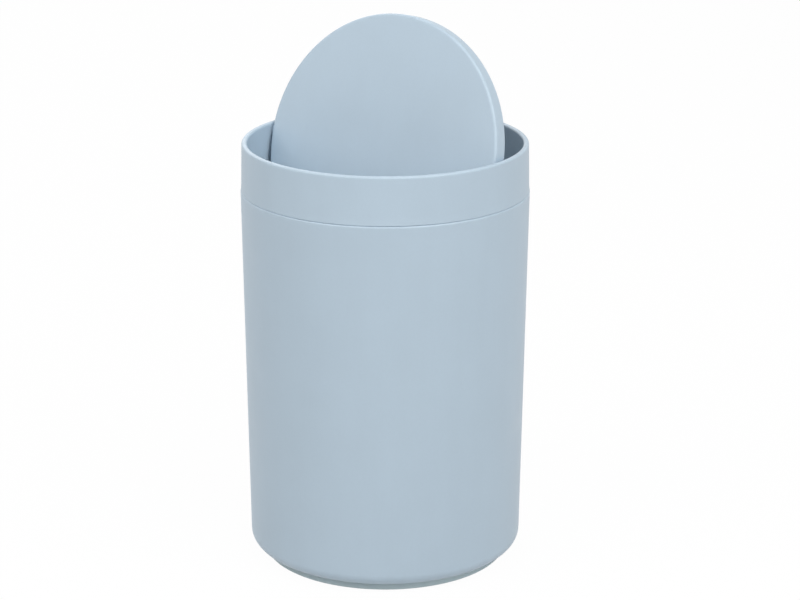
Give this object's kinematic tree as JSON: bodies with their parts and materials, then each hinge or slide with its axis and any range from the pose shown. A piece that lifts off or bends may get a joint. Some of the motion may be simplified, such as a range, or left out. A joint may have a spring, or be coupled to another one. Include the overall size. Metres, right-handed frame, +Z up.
{
  "type": "swing lid countertop bin",
  "caption": "Round tapered countertop waste bin with a lift-off collar and a flat disc flap that swings on side pins; stored with the flap open.",
  "frame": {"origin": "on the floor, at the centre of the foot ring", "axes": "+Z up along the bin's axis; the flap swings about an axis parallel to X, 195.5 mm up, and its top face leans towards -Y"},
  "size_m": [0.134, 0.134, 0.2564],
  "materials": {
    "bin_plastic": "pale powder-blue moulded plastic with a fine matte texture",
    "foot_rubber": "matching soft grip rubber, matte, a shade greyer",
    "plain_steel": "plain bright steel, hidden"
  },
  "bodies": {
    "bin": {"body": "bin_plastic", "foot_ring": "foot_rubber"},
    "collar": {"collar": "bin_plastic"},
    "flap": {"flap_shell": "bin_plastic", "flap_back": "bin_plastic", "balance_plate": "plain_steel", "pivot_pin_left": "plain_steel", "pivot_pin_right": "plain_steel"}
  },
  "joints": [
    {"name": "collar_lift", "type": "slide", "parent": "bin", "child": "collar", "axis": [0, 0, 1], "range_m": [0, 0.07]},
    {"name": "flap_swing", "type": "hinge", "parent": "collar", "child": "flap", "pos_m": [0, 0, 0.1955], "axis": [1, 0, 0], "continuous": true}
  ]
}
